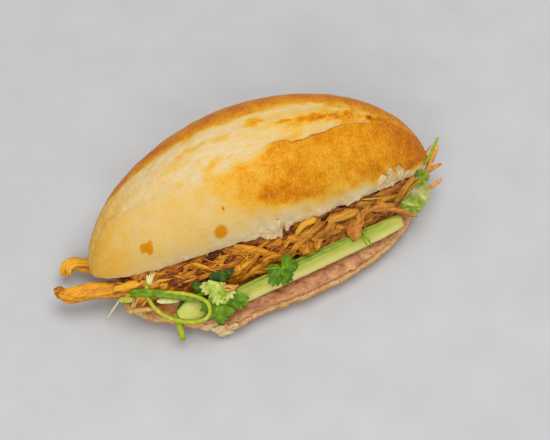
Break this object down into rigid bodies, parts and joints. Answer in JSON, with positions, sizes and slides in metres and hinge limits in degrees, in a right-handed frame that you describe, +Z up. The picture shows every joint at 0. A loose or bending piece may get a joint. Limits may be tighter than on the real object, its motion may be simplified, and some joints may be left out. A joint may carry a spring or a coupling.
{
  "type": "banh mi sandwich",
  "caption": "Puffy baguette roll slit along its front and joined at its back, filled with pate, cucumber, shredded chicken, pickle sticks, lettuce and herbs.",
  "frame": {"origin": "centre of the whole sandwich's box, at the level it rests on", "axes": "+X along the roll towards its right end as seen from the open side, -Y towards the open side that shows the filling, +Z up"},
  "size_m": [0.2736, 0.1286, 0.0946],
  "materials": {
    "bread_crust": "baked crust, golden with pale flour bloom",
    "pate": "coarse moist spread",
    "cucumber": "wet cut flesh with green skin",
    "chicken": "moist fibrous meat in sauce",
    "pickle": "wet cut vegetable",
    "greens": "fresh leaf with a thin wax sheen"
  },
  "bodies": {
    "root": {"bread_roll": "bread_crust", "pate_spread": "pate", "cucumber_long": "cucumber", "cucumber_short": "cucumber", "shredded_chicken": "chicken", "lettuce_leaf": "greens", "carrot_stick_1": "pickle", "carrot_stick_2": "pickle", "carrot_stick_3": "pickle", "daikon_stick": "pickle"}
  },
  "joints": []
}
